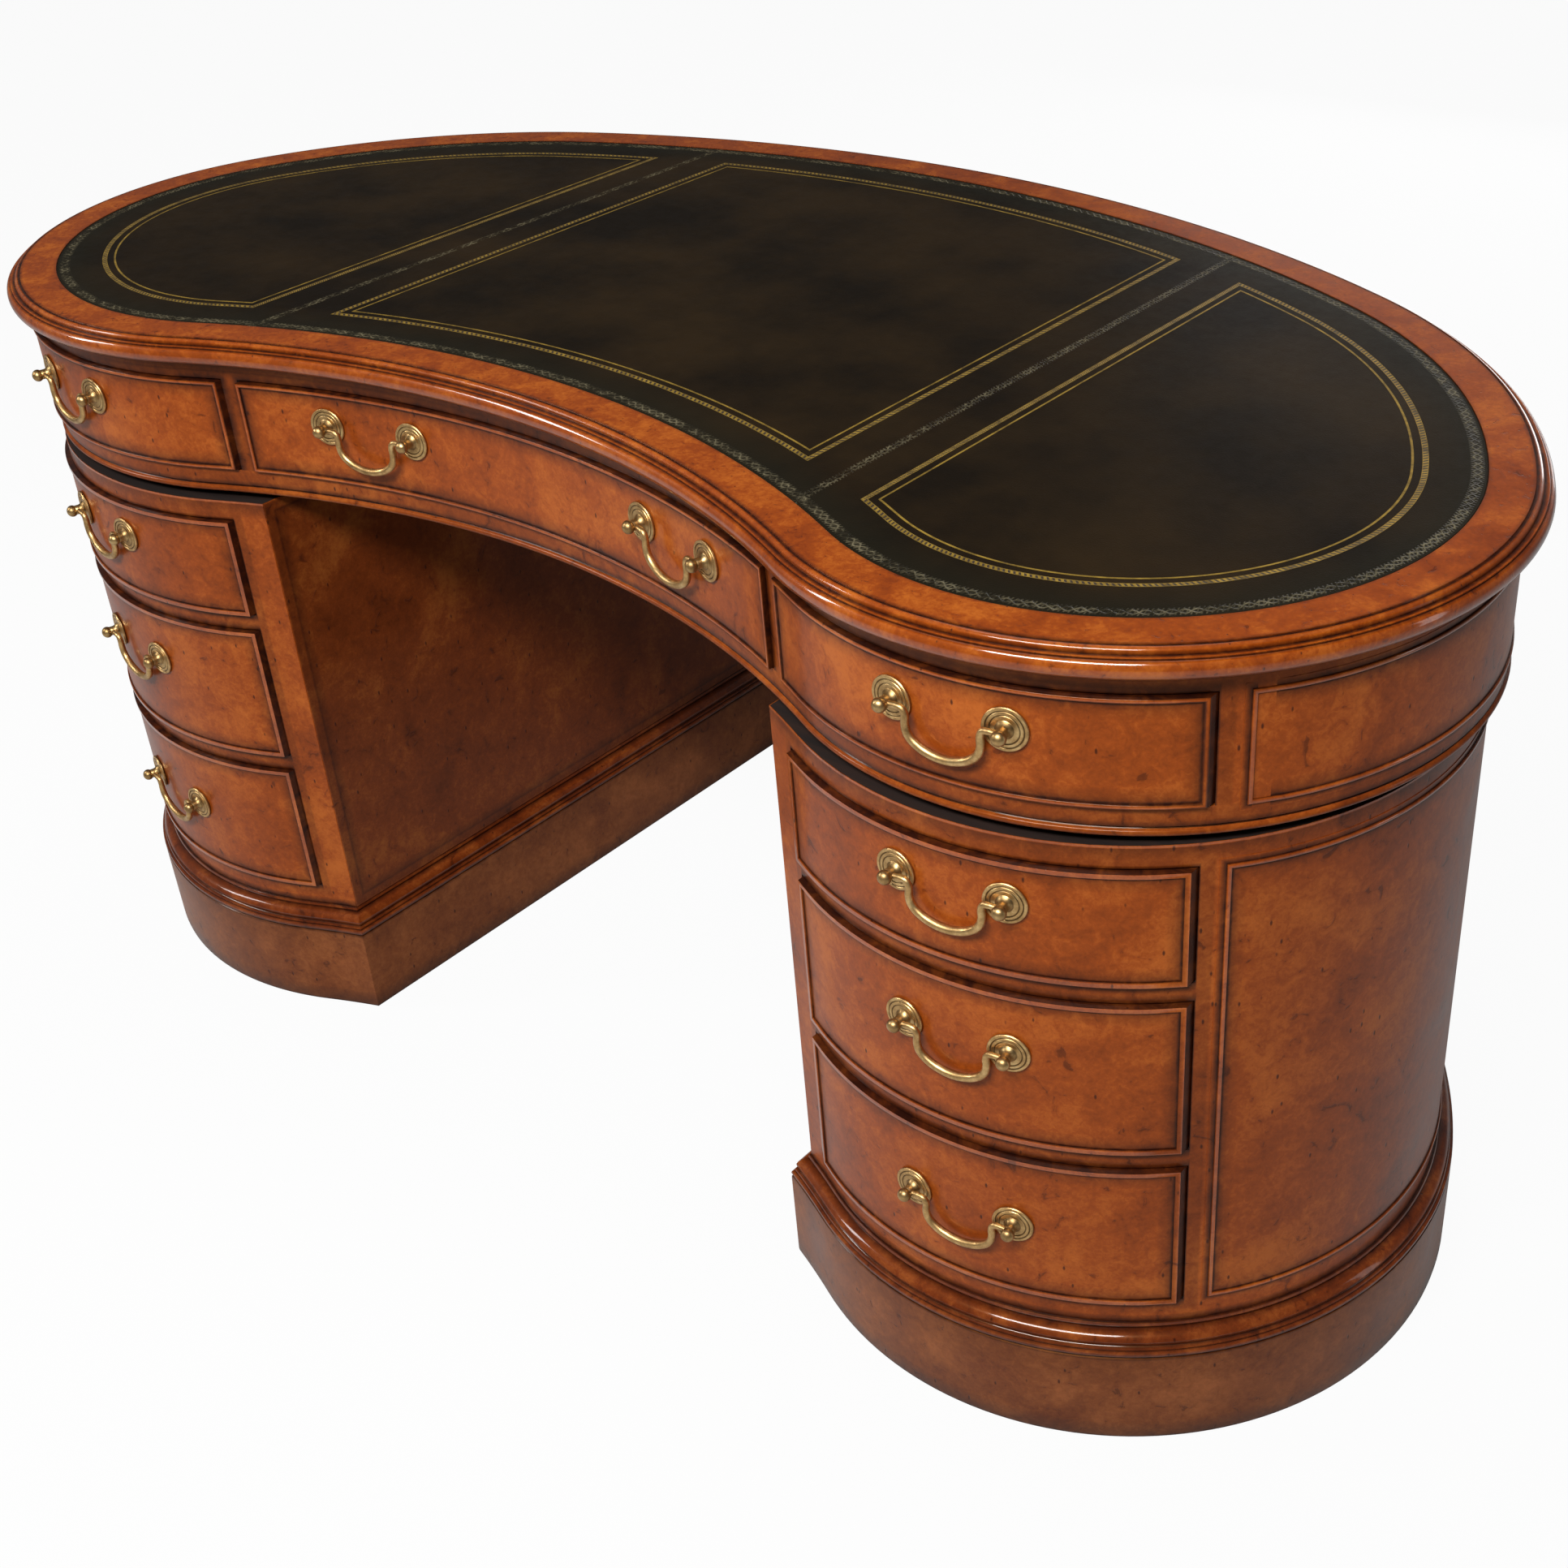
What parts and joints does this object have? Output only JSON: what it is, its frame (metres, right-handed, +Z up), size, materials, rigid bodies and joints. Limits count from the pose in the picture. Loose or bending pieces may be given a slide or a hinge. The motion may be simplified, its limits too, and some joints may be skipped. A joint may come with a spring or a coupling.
{
  "type": "kidney shaped pedestal desk",
  "caption": "Kidney shaped pedestal desk with a moulded leather top, bow fronted drawers with brass bail handles, and curved pedestals on moulded plinths.",
  "frame": {"origin": "on the floor under the middle of the desk's outer box", "axes": "+X to the sitter's right, +Y from the sitter to the convex back, +Z up"},
  "size_m": [1.6598, 0.8587, 0.78],
  "materials": {
    "mahogany": "figured reddish brown veneer, polished, with darkened edges",
    "rim_veneer": "orange brown burr veneer, polished",
    "leather": "dark green brown hide with gilt and blind tooled borders",
    "brass": "lacquered brass, lightly aged",
    "drawer_pine": "plain planed softwood"
  },
  "bodies": {
    "desk": {"top_board": "rim_veneer", "leather_left": "leather", "leather_centre": "leather", "leather_right": "leather", "frieze_base": "mahogany", "frieze_wall": "mahogany", "plinth_left": "mahogany", "base_moulding_left": "mahogany", "pedestal_carcase_left": "mahogany", "plinth_right": "mahogany", "base_moulding_right": "mahogany", "pedestal_carcase_right": "mahogany"},
    "centre_drawer": {"centre_drawer_front": "mahogany", "centre_drawer_tray": "drawer_pine", "centre_drawer_left_post_left": "brass", "centre_drawer_left_post_right": "brass", "centre_drawer_right_post_left": "brass", "centre_drawer_right_post_right": "brass"},
    "centre_drawer_left_bail": {"centre_drawer_left_bail": "brass"},
    "centre_drawer_right_bail": {"centre_drawer_right_bail": "brass"},
    "left_frieze_drawer": {"left_frieze_drawer_front": "mahogany", "left_frieze_drawer_tray": "drawer_pine", "left_frieze_drawer_post_left": "brass", "left_frieze_drawer_post_right": "brass"},
    "left_frieze_drawer_bail": {"left_frieze_drawer_bail": "brass"},
    "left_upper_drawer": {"left_upper_drawer_front": "mahogany", "left_upper_drawer_tray": "drawer_pine", "left_upper_drawer_post_left": "brass", "left_upper_drawer_post_right": "brass"},
    "left_upper_drawer_bail": {"left_upper_drawer_bail": "brass"},
    "left_middle_drawer": {"left_middle_drawer_front": "mahogany", "left_middle_drawer_tray": "drawer_pine", "left_middle_drawer_post_left": "brass", "left_middle_drawer_post_right": "brass"},
    "left_middle_drawer_bail": {"left_middle_drawer_bail": "brass"},
    "left_lower_drawer": {"left_lower_drawer_front": "mahogany", "left_lower_drawer_tray": "drawer_pine", "left_lower_drawer_post_left": "brass", "left_lower_drawer_post_right": "brass"},
    "left_lower_drawer_bail": {"left_lower_drawer_bail": "brass"},
    "right_frieze_drawer": {"right_frieze_drawer_front": "mahogany", "right_frieze_drawer_tray": "drawer_pine", "right_frieze_drawer_post_left": "brass", "right_frieze_drawer_post_right": "brass"},
    "right_frieze_drawer_bail": {"right_frieze_drawer_bail": "brass"},
    "right_upper_drawer": {"right_upper_drawer_front": "mahogany", "right_upper_drawer_tray": "drawer_pine", "right_upper_drawer_post_left": "brass", "right_upper_drawer_post_right": "brass"},
    "right_upper_drawer_bail": {"right_upper_drawer_bail": "brass"},
    "right_middle_drawer": {"right_middle_drawer_front": "mahogany", "right_middle_drawer_tray": "drawer_pine", "right_middle_drawer_post_left": "brass", "right_middle_drawer_post_right": "brass"},
    "right_middle_drawer_bail": {"right_middle_drawer_bail": "brass"},
    "right_lower_drawer": {"right_lower_drawer_front": "mahogany", "right_lower_drawer_tray": "drawer_pine", "right_lower_drawer_post_left": "brass", "right_lower_drawer_post_right": "brass"},
    "right_lower_drawer_bail": {"right_lower_drawer_bail": "brass"}
  },
  "joints": [
    {"name": "centre_drawer_slide", "type": "slide", "parent": "desk", "child": "centre_drawer", "axis": [0, -1, 0], "range_m": [0, 0.25]},
    {"name": "centre_drawer_left_bail_swing", "type": "hinge", "parent": "centre_drawer", "child": "centre_drawer_left_bail", "pos_m": [-0.19354, -0.32089, 0.703], "axis": [-0.9752, -0.2214, 0], "range_deg": [0, 95]},
    {"name": "centre_drawer_right_bail_swing", "type": "hinge", "parent": "centre_drawer", "child": "centre_drawer_right_bail", "pos_m": [0.19354, -0.32089, 0.703], "axis": [-0.9752, 0.2214, 0], "range_deg": [0, 95]},
    {"name": "left_frieze_drawer_slide", "type": "slide", "parent": "desk", "child": "left_frieze_drawer", "axis": [0, -1, 0], "range_m": [0, 0.3]},
    {"name": "left_frieze_drawer_bail_swing", "type": "hinge", "parent": "left_frieze_drawer", "child": "left_frieze_drawer_bail", "pos_m": [-0.54878, -0.40644, 0.703], "axis": [-0.9922, 0.1245, 0], "range_deg": [0, 95]},
    {"name": "left_upper_drawer_slide", "type": "slide", "parent": "desk", "child": "left_upper_drawer", "axis": [0, -1, 0], "range_m": [0, 0.3]},
    {"name": "left_upper_drawer_bail_swing", "type": "hinge", "parent": "left_upper_drawer", "child": "left_upper_drawer_bail", "pos_m": [-0.54887, -0.41196, 0.555], "axis": [-0.99, 0.1407, 0], "range_deg": [0, 95]},
    {"name": "left_middle_drawer_slide", "type": "slide", "parent": "desk", "child": "left_middle_drawer", "axis": [0, -1, 0], "range_m": [0, 0.3]},
    {"name": "left_middle_drawer_bail_swing", "type": "hinge", "parent": "left_middle_drawer", "child": "left_middle_drawer_bail", "pos_m": [-0.54887, -0.41196, 0.411], "axis": [-0.99, 0.1407, 0], "range_deg": [0, 95]},
    {"name": "left_lower_drawer_slide", "type": "slide", "parent": "desk", "child": "left_lower_drawer", "axis": [0, -1, 0], "range_m": [0, 0.3]},
    {"name": "left_lower_drawer_bail_swing", "type": "hinge", "parent": "left_lower_drawer", "child": "left_lower_drawer_bail", "pos_m": [-0.54887, -0.41196, 0.228], "axis": [-0.99, 0.1407, 0], "range_deg": [0, 95]},
    {"name": "right_frieze_drawer_slide", "type": "slide", "parent": "desk", "child": "right_frieze_drawer", "axis": [0, -1, 0], "range_m": [0, 0.3]},
    {"name": "right_frieze_drawer_bail_swing", "type": "hinge", "parent": "right_frieze_drawer", "child": "right_frieze_drawer_bail", "pos_m": [0.54878, -0.40644, 0.703], "axis": [-0.9922, -0.1245, 0], "range_deg": [0, 95]},
    {"name": "right_upper_drawer_slide", "type": "slide", "parent": "desk", "child": "right_upper_drawer", "axis": [0, -1, 0], "range_m": [0, 0.3]},
    {"name": "right_upper_drawer_bail_swing", "type": "hinge", "parent": "right_upper_drawer", "child": "right_upper_drawer_bail", "pos_m": [0.54887, -0.41196, 0.555], "axis": [-0.99, -0.1407, 0], "range_deg": [0, 95]},
    {"name": "right_middle_drawer_slide", "type": "slide", "parent": "desk", "child": "right_middle_drawer", "axis": [0, -1, 0], "range_m": [0, 0.3]},
    {"name": "right_middle_drawer_bail_swing", "type": "hinge", "parent": "right_middle_drawer", "child": "right_middle_drawer_bail", "pos_m": [0.54887, -0.41196, 0.411], "axis": [-0.99, -0.1407, 0], "range_deg": [0, 95]},
    {"name": "right_lower_drawer_slide", "type": "slide", "parent": "desk", "child": "right_lower_drawer", "axis": [0, -1, 0], "range_m": [0, 0.3]},
    {"name": "right_lower_drawer_bail_swing", "type": "hinge", "parent": "right_lower_drawer", "child": "right_lower_drawer_bail", "pos_m": [0.54887, -0.41196, 0.228], "axis": [-0.99, -0.1407, 0], "range_deg": [0, 95]}
  ]
}
